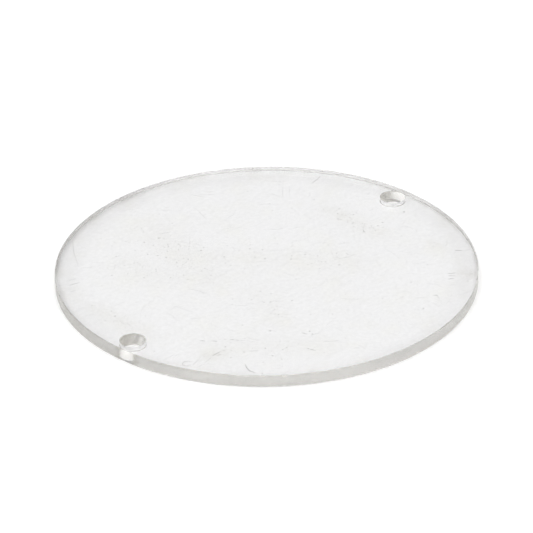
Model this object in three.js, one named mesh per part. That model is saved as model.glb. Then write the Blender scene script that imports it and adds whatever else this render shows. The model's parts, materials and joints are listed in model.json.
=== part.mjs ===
// Circle template: a flat, clear acrylic disc to draw around, with two pin holes on one diameter.
// Units are millimetres, +Z is up. The origin is the centre of the underside, so the disc lies on
// z = 0, and the two pin holes lie on the X axis.
import * as THREE from "three";

// Driving dimensions
const DISC_DIAMETER = 100;
const SHEET_THICKNESS = 3;
const PIN_HOLE_DIAMETER = 6;
const PIN_HOLE_SPACING = 91; // centre to centre, across the middle of the disc
const EDGE_BREAK = 0.15; // 45 degree chamfer on every edge of the rim and of the holes

// How finely the round walls are divided
const RIM_FACETS = 180;
const PIN_HOLE_FACETS = 60;

// The two sides of the centre on which a pin hole is drilled
const HOLE_SIDES = [-1, 1];

// The points of a circle, in order, with the closing point left out.
function circlePoints(diameter, facets, centreX = 0) {
  const radius = diameter / 2;
  const circle = new THREE.EllipseCurve(centreX, 0, radius, radius);
  return circle.getPoints(facets).slice(0, facets);
}

// The plan of the sheet: the round outline with its pin holes.
function discOutline() {
  const outline = new THREE.Shape(circlePoints(DISC_DIAMETER, RIM_FACETS));
  for (const side of HOLE_SIDES) {
    const centreX = (side * PIN_HOLE_SPACING) / 2;
    const hole = circlePoints(PIN_HOLE_DIAMETER, PIN_HOLE_FACETS, centreX);
    outline.holes.push(new THREE.Path(hole));
  }
  return outline;
}

// The sheet is cut straight through, then every edge is broken. The negative offset holds the walls
// at their full diameters and takes the chamfers off both faces.
function discGeometry() {
  return new THREE.ExtrudeGeometry(discOutline(), {
    depth: SHEET_THICKNESS - 2 * EDGE_BREAK,
    curveSegments: 1,
    bevelThickness: EDGE_BREAK,
    bevelSize: EDGE_BREAK,
    bevelOffset: -EDGE_BREAK,
    bevelSegments: 1,
  });
}

// Clear cast acrylic, dulled a little by handling.
function clearAcrylic() {
  return new THREE.MeshStandardMaterial({
    color: 0xeef0ee,
    roughness: 0.12,
    metalness: 0,
    transparent: true,
    opacity: 0.4,
  });
}

function templateDisc() {
  const disc = new THREE.Mesh(discGeometry(), clearAcrylic());
  disc.name = "template_disc";
  disc.position.z = EDGE_BREAK; // the lower chamfer reaches below the extrusion's own zero
  return disc;
}

const circleTemplate = new THREE.Group();
circleTemplate.name = "circle_template";
circleTemplate.add(templateDisc());

export default circleTemplate;
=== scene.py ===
"""Looks of the circle template: a clear acrylic disc with two pin holes, lying on a white table.

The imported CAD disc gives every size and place. It is replaced by a finer solid, with rounded edges
and with real scratches, pits and nicks cut into it, in a procedural acrylic that has been handled.
"""
import json
import math
import random
from collections import namedtuple

import bmesh
import bpy
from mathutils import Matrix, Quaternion, Vector
from mathutils.geometry import delaunay_2d_cdt, intersect_point_line


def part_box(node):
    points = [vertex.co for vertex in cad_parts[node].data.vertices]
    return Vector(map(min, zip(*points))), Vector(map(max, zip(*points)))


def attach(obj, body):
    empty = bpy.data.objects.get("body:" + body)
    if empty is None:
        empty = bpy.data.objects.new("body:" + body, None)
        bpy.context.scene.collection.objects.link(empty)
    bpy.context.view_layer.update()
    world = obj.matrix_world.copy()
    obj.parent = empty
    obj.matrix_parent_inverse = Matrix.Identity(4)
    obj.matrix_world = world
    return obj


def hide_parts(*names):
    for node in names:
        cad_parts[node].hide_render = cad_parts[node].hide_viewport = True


MM = 0.001
CAD_NODE = "template_disc"
SLOT = "clear_acrylic"
SEED = 871

# How the camera stands to the disc, in degrees, how far from it, in metres, and its lens, in millimetres
CAMERA_AZIMUTH = -47.2
CAMERA_ELEVATION = 29.55
CAMERA_ROLL = -0.86
CAMERA_DISTANCE = 1.0
CAMERA_LENS = 286
CAMERA_SENSOR = 36

# ---- The solid, in millimetres unless it says otherwise ----

EDGE_RADIUS = 0.15  # of the rounding along the rim and the bores
EDGE_WAVES = [(3, 0.12, 1), (11, 0.08, 0)]  # swells round an edge, share of that radius, phase
EDGE_STEPS = 4  # flats across a rounded edge
RIM_STEPS = 1440  # flats round the rim
BORE_STEPS = 160  # flats round a bore
FACE_SPACING = 1.6  # between the points that fill the plain parts of a face
EDGE_CLEARANCE = 0.9  # of those points from the rim and the bores
MARK_CLEARANCE = 0.35  # of those points from a scratch or a pit
MARK_MARGIN = 0.45  # of scratches and pits from the rim and the bores
STROKE_STEP = 0.4  # between the points of a scratch
SCRATCH_WOBBLE = 0.03  # most that a point of a scratch strays
HAIRLINE_WOBBLE = 0.02  # most that a point of a hairline strays
GROOVE_SLOPE = 0.3  # depth of a scratch over its half width
PIT_SLOPE = 0.22  # depth of a pit over its radius
PIT_CORNERS = 9
PIT_REACH = (0.7, 1.25)  # how far its corners lie from its middle, as shares of its radius
PIT_SHOULDER = 0.6  # share of the way from its middle to its lip at which its dirt starts to thin out
WELD_DISTANCE = 1e-5  # within which two points of a face are one
LEVEL_FACE = 0.99999  # least height of the unit normal of a level face
UPRIGHT_FACE = 0.001  # most height of the unit normal of an upright face

# Marks that the photograph shows on the top face, as the camera sees them: millimetres to the right of
# the centre, then millimetres away from the camera. A scratch is its width, how dirty it is from 0 to 1,
# and the points it runs through.
TOP_SCRATCHES = [
    (0.44, 0.75, [(-5.2, -44.4), (-4.9, -46.2), (-4.1, -47.9), (-2.6, -48.9)]),
    (0.42, 0.50, [(-12.9, -41.2), (-10.7, -39.0)]),
    (0.28, 0.35, [(-11.9, -41.2), (-10.4, -40.0)]),
    (0.28, 0.45, [(-17.3, -45.2), (-15.7, -42.4)]),
    (0.24, 0.60, [
        (-17.4, -44.6), (-18.3, -45.3), (-19.4, -44.8), (-19.3, -43.6), (-18.2, -43.0), (-17.2, -43.6),
    ]),
    (0.34, 0.40, [(-15.8, -34.1), (-14.1, -34.3)]),
    (0.36, 0.40, [(-12.9, -34.1), (-11.3, -34.6)]),
    (0.34, 0.38, [(-8.9, -33.6), (-6.3, -34.2)]),
    (0.22, 0.40, [(-4.4, -39.1), (-1.9, -38.9)]),
    (0.32, 0.42, [(9.1, -38.4), (11.2, -39.4)]),
    (0.28, 0.40, [(7.6, -31.0), (9.4, -31.9)]),
    (0.18, 0.50, [(-46.4, 14.8), (-45.8, 8.4), (-44.4, 1.0)]),
    (0.22, 0.30, [(-46.6, -7.8), (-43.8, -6.2)]),
    (0.16, 0.25, [(-47.2, -5.6), (-44.6, -4.4)]),
    (0.14, 0.25, [(-46.2, -10.9), (-43.8, -9.1)]),
    (0.34, 0.35, [(44.6, 6.3), (46.8, 6.2)]),
    (0.28, 0.40, [(42.4, -4.7), (44.8, -4.4)]),
    (0.24, 0.35, [(42.4, -5.7), (44.6, -5.9)]),
    (0.32, 0.45, [(42.4, -7.4), (44.2, -6.9)]),
    (0.34, 0.30, [(38.5, -14.8), (39.6, -14.8), (40.2, -17.0)]),
    (0.20, 0.70, [(13.7, 44.8), (12.8, 43.0), (11.2, 40.6)]),
    (0.20, 0.35, [(4.3, 40.3), (4.2, 32.6)]),
    (0.18, 0.30, [(6.0, 40.2), (5.8, 33.4)]),
    (0.12, 0.35, [(-26.0, 16.4), (-22.4, 17.6)]),
    (0.22, 0.45, [(-34.2, -24.4), (-33.0, -26.0)]),
    (0.20, 0.45, [(-32.5, -25.3), (-31.4, -27.2)]),
]

# Pits: right, away, radius and how dirty from 0 to 1
TOP_PITS = [
    (-3.0, 48.8, 0.38, 0.90),
    (17.8, 45.2, 0.38, 0.70),
    (14.1, 46.7, 0.30, 0.50),
    (-8.3, -38.6, 0.22, 0.35),
    (-0.5, -37.9, 0.28, 0.40),
    (1.1, -41.3, 0.24, 0.35),
    (3.1, -42.8, 0.24, 0.35),
    (4.3, -37.8, 0.24, 0.40),
    (7.0, -36.2, 0.22, 0.35),
    (0.6, -30.1, 0.28, 0.40),
    (9.7, -30.5, 0.26, 0.40),
    (10.3, -31.8, 0.24, 0.40),
    (9.2, -38.4, 0.30, 0.45),
    (33.4, 25.7, 0.28, 0.45),
    (28.0, 20.6, 0.26, 0.35),
    (33.8, -8.5, 0.24, 0.35),
    (36.2, -21.0, 0.26, 0.35),
    (-1.3, -49.1, 0.22, 0.40),
]

# Scuffed patches: right and away of both ends of a band, its breadth, how many small pits lie in it and
# how smeared it is from 0 to 1
TOP_SCUFFS = [
    ((16.0, 27.0), (27.0, 16.0), 3.6, 46, 0.12),
    ((-28.0, 20.0), (-14.0, -5.0), 7.0, 60, 0.08),
    ((-34.0, 2.0), (-24.0, -4.0), 6.0, 22, 0.06),
    ((-18.0, 6.0), (20.0, 2.0), 6.0, 40, 0.06),
    ((-2.0, -12.0), (4.0, -26.0), 5.0, 26, 0.06),
    ((-12.0, -36.0), (14.0, -36.0), 5.0, 26, 0.08),
    ((-14.0, -41.0), (-10.0, -39.0), 3.0, 4, 0.20),
    ((-40.0, -18.0), (-28.0, -30.0), 3.0, 12, 0.15),
    ((39.8, 10.6), (41.4, 8.2), 1.6, 3, 0.20),
    ((45.6, -4.2), (48.2, -5.2), 2.4, 6, 0.22),
]
SCUFF_PIT_RADIUS = (0.08, 0.26)
SCUFF_PIT_DIRT = (0.1, 0.4)

# Nicks in the upper edge of the rim: right and away of the place on the rim, depth, breadth and how
# dirty from 0 to 1
RIM_NICKS = [
    (-3.0, 49.9, 0.14, 0.8, 1.0),
    (-1.5, 50.0, 0.06, 16.0, 0.5),
    (4.6, 49.8, 0.20, 0.6, 0.6),
    (14.4, 47.9, 0.20, 0.8, 0.6),
    (18.2, 46.5, 0.20, 0.9, 0.9),
    (49.9, -3.2, 0.24, 0.7, 0.4),
    (49.4, -7.9, 0.24, 0.7, 0.4),
    (-1.3, -50.0, 0.06, 0.9, 0.8),
    (-43.3, 25.0, 0.20, 0.8, 0.4),
]

# Random wear, spread alike over both faces and both edges of the rim
HAIRLINES = 110  # fine scratches on each face
HAIRLINE_LENGTH = (1.5, 7)
HAIRLINE_WIDTH = (0.04, 0.1)
HAIRLINE_BEND = 0.15  # most that one bows, as a share of its length
HAIRLINE_DIRT = (0.15, 0.45)
LOOSE_PITS = 60  # on each face
LOOSE_PIT_RADIUS = (0.06, 0.2)
LOOSE_PIT_DIRT = (0.05, 0.4)
LOOSE_NICKS = 14  # in each edge of the rim
LOOSE_NICK_HALF = (0.2, 0.6)  # half of its breadth
LOOSE_NICK_DEPTH = (0.05, 0.2)
LOOSE_NICK_DIRT = 0.4
RIM_EDGE_DIRT = 0.05  # grime that lies in a rounded edge all the way round, from 0 to 1
BORE_EDGE_DIRT = 0.2

# ---- The acrylic ----

REFRACTION = 1.49
BODY_COLOUR = (0.58, 0.54, 0.40, 1)  # that light takes on inside
BODY_DENSITY = 1.8
COOL_FACE = (0.964, 0.964, 0.968, 1)
WARM_FACE = (0.959, 0.958, 0.948, 1)
MOTTLE_COLOUR = (0.3, 0.3, 0.29, 1)
MOTTLE_STRENGTH = 0.075
STREAK_COLOUR = (0.3, 0.3, 0.28, 1)
STREAK_STRENGTH = 0.04
STREAK_SQUEEZE = 0.12  # share left of the noise's change along a streak, which draws it out
# Colour of the painted shade in bands just inside the rim
RIM_SHADE_COLOUR = (0.12, 0.10, 0.08, 1)
SMEAR_COLOUR = (0.40, 0.36, 0.20, 1)
DIRT_COLOUR = (0.10, 0.09, 0.075, 1)
RIM_COLOUR = (0.89, 0.885, 0.875, 1)
# Painted shade: the rim's tint towards the camera's left
SHADED_RIM_COLOUR = (0.75, 0.74, 0.72, 1)
BORE_COLOUR = (0.985, 0.975, 0.955, 1)
FACE_ROUGHNESS = (0.01, 0.05)
RIM_ROUGHNESS = 0.22  # this and the next two are added to the roughness of the faces
BORE_ROUGHNESS = 0.18
DIRT_ROUGHNESS = 0.3
WALL_SKIN = 0.2  # how deep the looks of a wall reach into the disc, in millimetres

# Where the rim gets its painted shade, darker towards the camera's left: the direction as the camera
# sees it, then where along that direction, as a share of the radius, the shade starts and is full
RIM_SHADE_SIDE = ((-0.98, -0.17), 0.75, 1.0)

# Painted shade in bands just inside the rim, darker towards some sides: how far inside each starts and
# is full, in millimetres, and its strength, then the direction in which it gathers, and where it starts
# and is full, as above
RIM_SHADE_BANDS = [
    (8.0, 1.0, 0.055, (0.0, 1.0), -1.2, 0.0),
    (2.5, 0.0, 0.10, (-0.3, -1.0), 0.0, 0.6),
    (2.5, 0.0, 0.18, (-0.86, 0.51), 0.80, 0.97),
    (1.3, 0.0, 0.20, (0.93, 0.37), 0.75, 0.97),
    (1.0, 0.0, 0.08, (-1.0, 0.0), 0.85, 0.97),
    (0.9, 0.1, 0.06, (-0.1, 1.0), 0.3, 0.8),
]

# ---- The studio ----

TABLE_SIZE = 8  # in metres
TABLE_GAP = 0.02  # millimetres that keep the table from touching the disc
TABLE_COLOUR = (0.9, 0.9, 0.9, 1)

# How bright the room is from the camera's right and from its left, and the soft light overhead: how far
# it leans to the right and away as the camera sees it, for a rise of 1, where its glow starts and is
# full, as the cosine of the angle from its middle, and its brightness
ROOM_RIGHT = 0.33
ROOM_LEFT = 0.47
SOFT_LIGHT_LEAN = (-0.03, -0.12)
SOFT_LIGHT_START = 0.55
SOFT_LIGHT_FULL = 1.0
SOFT_LIGHT_BRIGHTNESS = 2.1

LIGHT_BOUNCES = 64  # light that is caught inside the disc crosses it many times before it gets out

# A round wall of the disc. Its side is -1 where the material lies inside the circle, as at the rim, and
# 1 where it lies outside, as at a bore.
Wall = namedtuple("Wall", "centre radius side")


def from_view(right, away):
    """A place or direction on the table, given as the camera sees it, in the frame's x and y."""
    turn = math.radians(CAMERA_AZIMUTH)
    return (
        right * math.cos(turn) - away * math.sin(turn),
        right * math.sin(turn) + away * math.cos(turn),
    )


def read_sizes(frame):
    """The disc's sizes in millimetres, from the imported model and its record."""
    low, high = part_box(CAD_NODE)
    bores = []
    for opening in frame["record"]["physics"]["openings"]:
        (x0, y0, _), (x1, y1, _) = opening["box_m"]
        bores.append(((x0 + x1) / 2 / MM, (y0 + y1) / 2 / MM))
    corners = [vertex.co / MM for vertex in frame["nodes"][CAD_NODE].data.vertices]
    return {
        "radius": (high.x - low.x) / 2 / MM,
        "thickness": (high.z - low.z) / MM,
        "bores": bores,
        "bore_radius": min(math.dist(corner.xy, bores[0]) for corner in corners),
    }


def is_off_edges(x, y, margin, sizes):
    """Whether a place on a face is at least a margin away from the rim and the bores."""
    if math.hypot(x, y) > sizes["radius"] - margin:
        return False
    return all(math.dist((x, y), bore) >= sizes["bore_radius"] + margin for bore in sizes["bores"])


# ---- Marks: each is a list of lines, and a line is a list of (x, y, depth, dirt) on a face ----


def stroke(points, wobble, rng):
    """Points every STROKE_STEP along a path, a little unsteady."""
    path = [points[0]]
    for start, end in zip(points, points[1:]):
        steps = max(2, round(math.dist(start, end) / STROKE_STEP))
        for i in range(1, steps + 1):
            share = i / steps
            x = start[0] + (end[0] - start[0]) * share + rng.uniform(-wobble, wobble)
            y = start[1] + (end[1] - start[1]) * share + rng.uniform(-wobble, wobble)
            path.append((x, y))
    return path


def scratch(path, width, dirt):
    """A V groove that tapers out at both ends: one lip, the bottom, the other lip."""
    last = len(path) - 1
    lip, bottom, other_lip = [], [], []
    for i, (x, y) in enumerate(path):
        before, after = path[max(i - 1, 0)], path[min(i + 1, last)]
        length = math.dist(before, after)
        half = width / 2 * math.sqrt(math.sin(math.pi * i / last) if 0 < i < last else 0)
        across_x = (before[1] - after[1]) / length * half
        across_y = (after[0] - before[0]) / length * half
        lip.append((x + across_x, y + across_y, 0, 0))
        bottom.append((x, y, half * GROOVE_SLOPE, dirt if half else 0))
        other_lip.append((x - across_x, y - across_y, 0, 0))
    return [lip, bottom, other_lip]


def pit(x, y, radius, dirt, rng):
    """A dent with an uneven outline: its lip, its shoulder and its deepest point."""
    reaches = [radius * rng.uniform(*PIT_REACH) for _ in range(PIT_CORNERS)]
    lines = []
    for share, shade in ((1, 0), (PIT_SHOULDER, dirt)):
        line = []
        for i in range(PIT_CORNERS + 1):
            turn = 2 * math.pi * i / PIT_CORNERS
            reach = reaches[i % PIT_CORNERS] * share
            depth = radius * PIT_SLOPE * (1 - share)
            line.append((x + reach * math.cos(turn), y + reach * math.sin(turn), depth, shade))
        lines.append(line)
    lines.append([(x, y, radius * PIT_SLOPE, dirt)])
    return lines


def place_on_face(sizes, rng):
    """A random place on the disc, all of it equally likely."""
    reach = sizes["radius"] * math.sqrt(rng.random())
    turn = rng.uniform(0, 2 * math.pi)
    return reach * math.cos(turn), reach * math.sin(turn)


def hairline(x, y, rng):
    """A fine scratch in a random direction, bowed a little to one side."""
    heading = rng.uniform(0, math.pi)
    length = rng.uniform(*HAIRLINE_LENGTH)
    bow = rng.uniform(-HAIRLINE_BEND, HAIRLINE_BEND) * length
    along_x, along_y = math.cos(heading), math.sin(heading)
    end = (x + length * along_x, y + length * along_y)
    middle = ((x + end[0]) / 2 + bow * along_y, (y + end[1]) / 2 - bow * along_x)
    path = stroke([(x, y), middle, end], HAIRLINE_WOBBLE, rng)
    return scratch(path, rng.uniform(*HAIRLINE_WIDTH), rng.uniform(*HAIRLINE_DIRT))


def random_marks(sizes, rng):
    """Fine scratches and pits spread over a whole face."""
    marks = [hairline(*place_on_face(sizes, rng), rng) for _ in range(HAIRLINES)]
    for _ in range(LOOSE_PITS):
        x, y = place_on_face(sizes, rng)
        marks.append(pit(x, y, rng.uniform(*LOOSE_PIT_RADIUS), rng.uniform(*LOOSE_PIT_DIRT), rng))
    return marks


def scuff_pits(start, end, breadth, count, rng):
    """Small pits scattered about a line from start to end, given as the camera sees them."""
    pits = []
    for _ in range(count):
        share = rng.random()
        right = start[0] + (end[0] - start[0]) * share + rng.gauss(0, breadth / 2)
        away = start[1] + (end[1] - start[1]) * share + rng.gauss(0, breadth / 2)
        radius = rng.uniform(*SCUFF_PIT_RADIUS)
        pits.append(pit(*from_view(right, away), radius, rng.uniform(*SCUFF_PIT_DIRT), rng))
    return pits


def photographed_marks(rng):
    """The scratches, pits and scuffed patches that the photograph shows."""
    marks = []
    for width, dirt, points in TOP_SCRATCHES:
        path = stroke([from_view(*point) for point in points], SCRATCH_WOBBLE, rng)
        marks.append(scratch(path, width, dirt))
    for right, away, radius, dirt in TOP_PITS:
        marks.append(pit(*from_view(right, away), radius, dirt, rng))
    for start, end, breadth, count, _ in TOP_SCUFFS:
        marks += scuff_pits(start, end, breadth, count, rng)
    return marks


def lines_off_edges(marks, sizes):
    """The lines of the marks that keep clear of the rim and the bores."""
    kept = []
    for lines in marks:
        if all(is_off_edges(x, y, MARK_MARGIN, sizes) for line in lines for x, y, _, _ in line):
            kept += lines
    return kept


# ---- The solid ----


def rim_nicks(seen, sizes, rng):
    """Nicks in one edge of the rim, as (turn, depth, half of the angle it takes, dirt)."""
    nicks = []
    for right, away, depth, breadth, dirt in seen:
        x, y = from_view(right, away)
        nicks.append((math.atan2(y, x), depth, breadth / 2 / sizes["radius"], dirt))
    for _ in range(LOOSE_NICKS):
        half = rng.uniform(*LOOSE_NICK_HALF) / sizes["radius"]
        turn = rng.uniform(-math.pi, math.pi)
        nicks.append((turn, rng.uniform(*LOOSE_NICK_DEPTH), half, LOOSE_NICK_DIRT))
    return nicks


def rounded_edge(steps, nicks, grime):
    """The radius and the dirt of a rounded edge at each step round it."""
    edge = []
    for i in range(steps):
        turn = 2 * math.pi * i / steps
        swell = 1
        for count, share, phase in EDGE_WAVES:
            swell += share * math.sin(count * turn + phase)
        radius = EDGE_RADIUS * swell
        dirt = grime
        for centre, depth, half, nick_dirt in nicks:
            off = math.remainder(turn - centre, 2 * math.pi) / half
            if abs(off) < 1:
                radius += depth * (1 - off * off)
                dirt = max(dirt, nick_dirt * (1 - off * off))
        edge.append((radius, dirt))
    return edge


def add_ring(mesh, wall, places):
    """A ring of vertices from (how far in from the wall, height, dirt) at each step round it."""
    dirt_layer = mesh.verts.layers.float["dirt"]
    ring = []
    for i, (inset, height, dirt) in enumerate(places):
        turn = 2 * math.pi * i / len(places)
        reach = wall.radius + wall.side * inset
        x = wall.centre[0] + reach * math.cos(turn)
        y = wall.centre[1] + reach * math.sin(turn)
        vertex = mesh.verts.new((x * MM, y * MM, height * MM))
        vertex[dirt_layer] = dirt
        ring.append(vertex)
    return ring


def add_wall(mesh, wall, thickness, top_edge, bottom_edge):
    """A round wall with both edges rounded. Returns the rings where it meets the two faces."""
    quarter = [math.pi / 2 * i / EDGE_STEPS for i in range(EDGE_STEPS + 1)]
    steps = [(turn, top_edge, thickness, -1) for turn in quarter]
    steps += [(turn, bottom_edge, 0, 1) for turn in reversed(quarter)]
    rings = []
    for turn, edge, height, into in steps:
        inset, fall, shade = 1 - math.sin(turn), 1 - math.cos(turn), math.sin(2 * turn)
        places = [(size * inset, height + into * size * fall, dirt * shade) for size, dirt in edge]
        rings.append(add_ring(mesh, wall, places))
    for upper, lower in zip(rings, rings[1:]):
        for i in range(len(upper)):
            j = (i + 1) % len(upper)
            mesh.faces.new((upper[i], upper[j], lower[j], lower[i]))
    return rings[0], rings[-1]


def cells_near(lines):
    """The cells, MARK_CLEARANCE across, that hold a point of the marks or lie next to one that does."""
    cells = set()
    for line in lines:
        for x, y, _, _ in line:
            column, row = round(x / MARK_CLEARANCE), round(y / MARK_CLEARANCE)
            cells.update((column + i, row + j) for i in (-1, 0, 1) for j in (-1, 0, 1))
    return cells


def plain_points(lines, sizes):
    """Evenly spread points for the plain parts of a face, clear of its edges and marks."""
    taken = cells_near(lines)
    row_step = FACE_SPACING * math.sqrt(3) / 2
    reach = sizes["radius"] - EDGE_CLEARANCE
    rows = int(reach / row_step)
    columns = int(reach / FACE_SPACING) + 1
    points = []
    for row in range(-rows, rows + 1):
        for column in range(-columns, columns + 1):
            x = (column + row % 2 / 2) * FACE_SPACING
            y = row * row_step
            cell = (round(x / MARK_CLEARANCE), round(y / MARK_CLEARANCE))
            if cell not in taken and is_off_edges(x, y, EDGE_CLEARANCE, sizes):
                points.append((x, y))
    return points


def face_layout(rings, lines, sizes):
    """The points of a face, the depth and dirt of each, and the edges that it has to keep."""
    points, places, edges = [], [], []
    for ring in rings:
        start = len(points)
        edges += [(start + i, start + (i + 1) % len(ring)) for i in range(len(ring))]
        points += [vertex.co.xy / MM for vertex in ring]
        places += [(0, 0)] * len(ring)
    for line in lines:
        start = len(points)
        edges += [(start + i, start + i + 1) for i in range(len(line) - 1)]
        points += [Vector((x, y)) for x, y, _, _ in line]
        places += [(depth, dirt) for _, _, depth, dirt in line]
    spread = plain_points(lines, sizes)
    points += [Vector(point) for point in spread]
    places += [(0, 0)] * len(spread)
    return points, places, edges


def is_inside(point, outlines):
    """Whether a point lies in the material between closed outlines, by counting crossings."""
    inside = False
    for outline in outlines:
        for start, end in zip(outline, outline[1:] + outline[:1]):
            if (start.y > point.y) != (end.y > point.y):
                crossing = start.x + (point.y - start.y) / (end.y - start.y) * (end.x - start.x)
                if point.x < crossing:
                    inside = not inside
    return inside


def add_face(mesh, rings, lines, height, into, sizes):
    """Fills a face between its rings, with its marks cut into it: down if into is -1, up if it is 1."""
    dirt_layer = mesh.verts.layers.float["dirt"]
    points, places, edges = face_layout(rings, lines, sizes)
    made, _, triangles, sources, _, _ = delaunay_2d_cdt(points, edges, [], 0, WELD_DISTANCE)
    on_rings = [vertex for ring in rings for vertex in ring]
    vertices = []
    for point, source in zip(made, sources):
        if source and source[0] < len(on_rings):
            vertices.append(on_rings[source[0]])
            continue
        depth, dirt = places[source[0]] if source else (0, 0)
        vertex = mesh.verts.new((point.x * MM, point.y * MM, (height + into * depth) * MM))
        vertex[dirt_layer] = dirt
        vertices.append(vertex)

    edge_vertices = set(on_rings)
    outlines = [[vertex.co.xy / MM for vertex in ring] for ring in rings]
    for triangle in triangles:
        corners = [vertices[i] for i in triangle]
        middle = (made[triangle[0]] + made[triangle[1]] + made[triangle[2]]) / 3
        # Only a triangle with all its corners on the rings can lie across a bore or outside the rim.
        if not edge_vertices.issuperset(corners) or is_inside(middle, outlines):
            mesh.faces.new(corners)


def smear_top(mesh, sizes):
    """Records how smeared each vertex of the top is, which fades out away from each scuffed band."""
    smear_layer = mesh.verts.layers.float["smear"]
    bands = []
    for start, end, breadth, _, strength in TOP_SCUFFS:
        bands.append((Vector(from_view(*start)), Vector(from_view(*end)), breadth, strength))
    for vertex in mesh.verts:
        if vertex.co.z < sizes["thickness"] * MM / 2:
            continue
        place = vertex.co.xy / MM
        for start, end, breadth, strength in bands:
            _, share = intersect_point_line(place, start, end)
            nearest = start.lerp(end, min(1, max(0, share)))
            smear = strength * math.exp(-2 * ((place - nearest).length / breadth) ** 2)
            vertex[smear_layer] = max(vertex[smear_layer], smear)


def surface_kind(face):
    """Tells the flat faces and the straight walls from the rounded and marked parts."""
    if abs(face.normal.z) > LEVEL_FACE:
        return "flat"
    return "wall" if abs(face.normal.z) < UPRIGHT_FACE else "shaped"


def shade_by_kind(mesh):
    """Smooth shading inside each kind of surface, with a crease between kinds."""
    kinds = {face: surface_kind(face) for face in mesh.faces}
    for face in mesh.faces:
        face.smooth = True
    for edge in mesh.edges:
        edge.smooth = len({kinds[face] for face in edge.link_faces}) == 1


def disc_mesh(sizes, rng):
    """The whole disc as one closed mesh, with the dirt and the smears of each vertex."""
    mesh = bmesh.new()
    for layer in ("dirt", "smear"):
        mesh.verts.layers.float.new(layer)
    thickness = sizes["thickness"]

    top_edge = rounded_edge(RIM_STEPS, rim_nicks(RIM_NICKS, sizes, rng), RIM_EDGE_DIRT)
    bottom_edge = rounded_edge(RIM_STEPS, rim_nicks([], sizes, rng), RIM_EDGE_DIRT)
    rings = [add_wall(mesh, Wall((0, 0), sizes["radius"], -1), thickness, top_edge, bottom_edge)]
    bore_edge = rounded_edge(BORE_STEPS, [], BORE_EDGE_DIRT)
    for bore in sizes["bores"]:
        wall = Wall(bore, sizes["bore_radius"], 1)
        rings.append(add_wall(mesh, wall, thickness, bore_edge, bore_edge))

    top_lines = lines_off_edges(photographed_marks(rng) + random_marks(sizes, rng), sizes)
    bottom_lines = lines_off_edges(random_marks(sizes, rng), sizes)
    add_face(mesh, [top for top, _ in rings], top_lines, thickness, -1, sizes)
    add_face(mesh, [bottom for _, bottom in rings], bottom_lines, 0, 1, sizes)
    smear_top(mesh, sizes)
    bmesh.ops.recalc_face_normals(mesh, faces=mesh.faces)
    shade_by_kind(mesh)
    return mesh


def build_disc(sizes, rng):
    """The disc as an object in the scene, still without its material."""
    mesh = disc_mesh(sizes, rng)
    data = bpy.data.meshes.new("clear_disc")
    mesh.to_mesh(data)
    mesh.free()
    disc = bpy.data.objects.new("clear_disc", data)
    bpy.context.scene.collection.objects.link(disc)
    return disc


# ---- Nodes ----


def add_node(tree, kind, settings=None, inputs=None):
    """A node with its settings, each input set to a value or linked to an output."""
    node = tree.nodes.new(kind)
    for name, value in (settings or {}).items():
        setattr(node, name, value)
    for name, value in (inputs or {}).items():
        if isinstance(value, bpy.types.NodeSocket):
            tree.links.new(value, node.inputs[name])
        else:
            node.inputs[name].default_value = value
    return node


def vector_math(tree, operation, first, second):
    """A sum on two vectors. Its result is in output 0, or in "Value" where it is a plain number."""
    return add_node(tree, "ShaderNodeVectorMath", {"operation": operation}, {0: first, 1: second})


def number_math(tree, operation, first, second):
    """The result of a sum on two numbers."""
    return add_node(tree, "ShaderNodeMath", {"operation": operation}, {0: first, 1: second}).outputs[0]


def ramp(tree, value, start, end, low=0.0, high=1.0):
    """Eases from low to high as the value goes from start to end."""
    inputs = {"Value": value, "From Min": start, "From Max": end, "To Min": low, "To Max": high}
    node = add_node(tree, "ShaderNodeMapRange", {"interpolation_type": "SMOOTHSTEP"}, inputs)
    return node.outputs["Result"]


def blend(tree, share, first, second):
    """Goes from the first colour to the second. Inputs 6 and 7 and output 2 are the ones for colours."""
    node = add_node(tree, "ShaderNodeMix", {"data_type": "RGBA"}, {0: share, 6: first, 7: second})
    return node.outputs[2]


def patches(tree, place, size, detail, start, end, low=0.0, high=1.0):
    """Noise with patches of about a size in millimetres, eased from low to high as it rises."""
    inputs = {"Vector": place, "Scale": 1 / (size * MM), "Detail": detail}
    noise = add_node(tree, "ShaderNodeTexNoise", None, inputs).outputs["Fac"]
    return ramp(tree, noise, start, end, low, high)


def vertex_value(tree, layer):
    """What a layer of the mesh says, from 0 to 1."""
    return add_node(tree, "ShaderNodeAttribute", {"attribute_name": layer}).outputs["Fac"]


def distance_from(tree, place, centre):
    """Distance in metres from the upright line through a point given in millimetres."""
    offset = vector_math(tree, "SUBTRACT", place, (centre[0] * MM, centre[1] * MM, 0))
    level = vector_math(tree, "MULTIPLY", offset.outputs[0], (1, 1, 0))
    return vector_math(tree, "LENGTH", level.outputs[0], (0, 0, 0)).outputs["Value"]


def toward(tree, place, direction, start, end, sizes):
    """Grows from 0 to 1 across the disc in a direction given as the camera sees it."""
    along = vector_math(tree, "DOT_PRODUCT", place, (*from_view(*direction), 0)).outputs["Value"]
    return ramp(tree, along, start * sizes["radius"] * MM, end * sizes["radius"] * MM)


# ---- Acrylic ----


def wall_share(tree, place, wall):
    """How far a point belongs to a round wall: 0 at WALL_SKIN inside it, 1 just under its surface."""
    skin = WALL_SKIN * MM * wall.side
    radius = wall.radius * MM
    return ramp(tree, distance_from(tree, place, wall.centre), radius + skin, radius + skin / 10)


def bore_share(tree, place, sizes):
    """How far a point belongs to the wall of any bore."""
    share = 0.0
    for centre in sizes["bores"]:
        near = wall_share(tree, place, Wall(centre, sizes["bore_radius"], 1))
        share = number_math(tree, "MAXIMUM", share, near)
    return share


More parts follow.
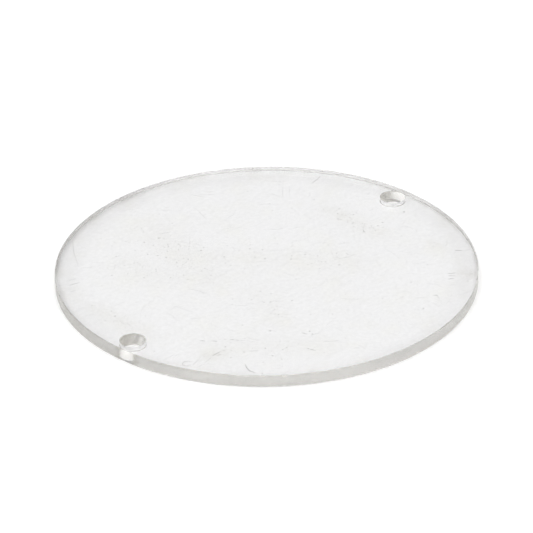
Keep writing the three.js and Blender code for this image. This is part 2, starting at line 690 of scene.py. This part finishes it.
def painted_rim_shade(tree, place, sizes):
    """Grey painted shade just inside the rim, in bands gathered towards some sides and uneven in
    patches.
    """
    distance = distance_from(tree, place, (0, 0))
    rim = sizes["radius"]
    painted_shade = 0.0
    for start, full, strength, direction, low, high in RIM_SHADE_BANDS:
        band = ramp(tree, distance, (rim - start) * MM, (rim - full) * MM, 0, strength)
        gathered = number_math(tree, "MULTIPLY", band, toward(tree, place, direction, low, high, sizes))
        painted_shade = number_math(tree, "ADD", painted_shade, gathered)
    uneven = patches(tree, place, size=6, detail=2, start=0.3, end=0.7, low=0.7, high=1.2)
    return number_math(tree, "MULTIPLY", painted_shade, uneven)


def face_colour(tree, place):
    """Colour of the flat faces: faint warm and cool blotches under fine mottling and wiping streaks."""
    blotch = patches(tree, place, size=6, detail=4, start=0.5, end=0.68)
    colour = blend(tree, blotch, COOL_FACE, WARM_FACE)
    mottle = patches(tree, place, size=1, detail=2, start=0.3, end=0.7, high=MOTTLE_STRENGTH)
    colour = blend(tree, mottle, colour, MOTTLE_COLOUR)
    turn = (0, 0, math.radians(-CAMERA_AZIMUTH))
    inputs = {"Vector": place, "Rotation": turn, "Scale": (STREAK_SQUEEZE, 1, 1)}
    drawn_out = add_node(tree, "ShaderNodeMapping", None, inputs).outputs["Vector"]
    streak = patches(tree, drawn_out, size=0.9, detail=2, start=0.5, end=0.75, high=STREAK_STRENGTH)
    return blend(tree, streak, colour, STREAK_COLOUR)


def smear_share(tree, place):
    """Smears over the scuffed patches, broken up by fine noise."""
    broken = patches(tree, place, size=0.7, detail=3, start=0.35, end=0.6, low=0.3)
    return number_math(tree, "MULTIPLY", vertex_value(tree, "smear"), broken)


def acrylic_colour(tree, place, rim, bore, dirt, sizes):
    """Colour of the whole surface: the faces with painted shade inside the rim, their smears, the walls
    with painted shade towards the camera's left, and dirt over all.
    """
    # Painted shade in bands just inside the rim
    colour = blend(tree, painted_rim_shade(tree, place, sizes), face_colour(tree, place), RIM_SHADE_COLOUR)
    colour = blend(tree, smear_share(tree, place), colour, SMEAR_COLOUR)
    # Painted shade: the rim darkens towards the camera's left
    side_shade = toward(tree, place, *RIM_SHADE_SIDE, sizes)
    colour = blend(tree, rim, colour, blend(tree, side_shade, RIM_COLOUR, SHADED_RIM_COLOUR))
    colour = blend(tree, bore, colour, BORE_COLOUR)
    return blend(tree, dirt, colour, DIRT_COLOUR)


def acrylic_roughness(tree, place, rim, bore, dirt):
    """Glossy faces, satin walls and dull dirt."""
    low, high = FACE_ROUGHNESS
    roughness = patches(tree, place, size=5, detail=2, start=0.3, end=0.7, low=low, high=high)
    for share, added in ((rim, RIM_ROUGHNESS), (bore, BORE_ROUGHNESS), (dirt, DIRT_ROUGHNESS)):
        roughness = number_math(tree, "ADD", roughness, number_math(tree, "MULTIPLY", share, added))
    return roughness


def acrylic(sizes):
    """Clear acrylic: a plain glass-like body, its surface colour and roughness varied by wear."""
    material = bpy.data.materials.new(SLOT)
    material.use_nodes = True
    tree = material.node_tree
    shader = tree.nodes["Principled BSDF"]
    shader.inputs["IOR"].default_value = REFRACTION
    shader.inputs["Transmission Weight"].default_value = 1.0

    place = add_node(tree, "ShaderNodeTexCoord").outputs["Object"]
    rim = wall_share(tree, place, Wall((0, 0), sizes["radius"], -1))
    bore = bore_share(tree, place, sizes)
    dirt = vertex_value(tree, "dirt")
    tree.links.new(acrylic_colour(tree, place, rim, bore, dirt, sizes), shader.inputs["Base Color"])
    tree.links.new(acrylic_roughness(tree, place, rim, bore, dirt), shader.inputs["Roughness"])

    inputs = {"Color": BODY_COLOUR, "Density": BODY_DENSITY}
    body = add_node(tree, "ShaderNodeVolumeAbsorption", None, inputs)
    tree.links.new(body.outputs["Volume"], tree.nodes["Material Output"].inputs["Volume"])
    return material


# ---- Studio ----


def white_table():
    """A dull white table top, a hair below the disc."""
    bpy.ops.mesh.primitive_plane_add(size=TABLE_SIZE, location=(0, 0, -TABLE_GAP * MM))
    table = bpy.context.object
    table.name = "white_table"
    material = bpy.data.materials.new("white_table")
    material.use_nodes = True
    shader = material.node_tree.nodes["Principled BSDF"]
    shader.inputs["Base Color"].default_value = TABLE_COLOUR
    shader.inputs["Roughness"].default_value = 1.0
    shader.inputs["Specular IOR Level"].default_value = 0.0
    table.data.materials.append(material)


def studio_light():
    """A bright soft light overhead in a grey room, as a world that glows by direction."""
    world = bpy.data.worlds.new("studio")
    bpy.context.scene.world = world
    world.use_nodes = True
    tree = world.node_tree
    direction = add_node(tree, "ShaderNodeTexCoord").outputs["Generated"]
    light_middle = Vector((*from_view(*SOFT_LIGHT_LEAN), 1)).normalized()
    overhead = vector_math(tree, "DOT_PRODUCT", direction, light_middle).outputs["Value"]
    glow = ramp(tree, overhead, SOFT_LIGHT_START, SOFT_LIGHT_FULL, 0, SOFT_LIGHT_BRIGHTNESS)
    leftward = vector_math(tree, "DOT_PRODUCT", direction, (*from_view(-1, 0), 0)).outputs["Value"]
    room = ramp(tree, leftward, -1, 1, ROOM_RIGHT, ROOM_LEFT)
    background = tree.nodes["Background"]
    background.inputs["Color"].default_value = (1, 1, 1, 1)
    tree.links.new(number_math(tree, "ADD", glow, room), background.inputs["Strength"])


def camera(sizes):
    """A camera that looks down at the middle of the top face from the photograph's angle."""
    data = bpy.data.cameras.new("camera")
    data.lens = CAMERA_LENS
    data.sensor_width = CAMERA_SENSOR
    data.clip_start = 0.01
    view = bpy.data.objects.new("camera", data)
    bpy.context.scene.collection.objects.link(view)
    elevation = math.radians(CAMERA_ELEVATION)
    back = Vector((*from_view(0, -math.cos(elevation)), math.sin(elevation)))
    view.location = Vector((0, 0, sizes["thickness"] * MM)) + back * CAMERA_DISTANCE
    level = (-back).to_track_quat("-Z", "Y")
    view.rotation_mode = "QUATERNION"
    view.rotation_quaternion = level @ Quaternion((0, 0, 1), math.radians(CAMERA_ROLL))
    bpy.context.scene.camera = view


def set_light_paths():
    """Keeps colours as the shaders give them, and follows light through the disc for long enough."""
    scene = bpy.context.scene
    scene.view_settings.view_transform = "Standard"
    scene.cycles.max_bounces = LIGHT_BOUNCES
    scene.cycles.glossy_bounces = LIGHT_BOUNCES
    scene.cycles.transmission_bounces = LIGHT_BOUNCES
    scene.cycles.blur_glossy = 0.0


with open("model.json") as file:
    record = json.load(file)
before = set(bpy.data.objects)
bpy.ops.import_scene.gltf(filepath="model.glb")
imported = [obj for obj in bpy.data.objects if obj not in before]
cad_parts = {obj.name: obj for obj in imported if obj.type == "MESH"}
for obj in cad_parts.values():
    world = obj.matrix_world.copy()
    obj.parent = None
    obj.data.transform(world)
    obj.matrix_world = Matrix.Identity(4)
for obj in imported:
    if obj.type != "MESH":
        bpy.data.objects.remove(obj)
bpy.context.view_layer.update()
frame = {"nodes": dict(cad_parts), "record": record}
sizes = read_sizes(frame)

disc = build_disc(sizes, random.Random(SEED))
disc.data.materials.append(acrylic(sizes))
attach(disc, "root")
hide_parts(CAD_NODE)

white_table()
studio_light()
camera(sizes)
set_light_paths()
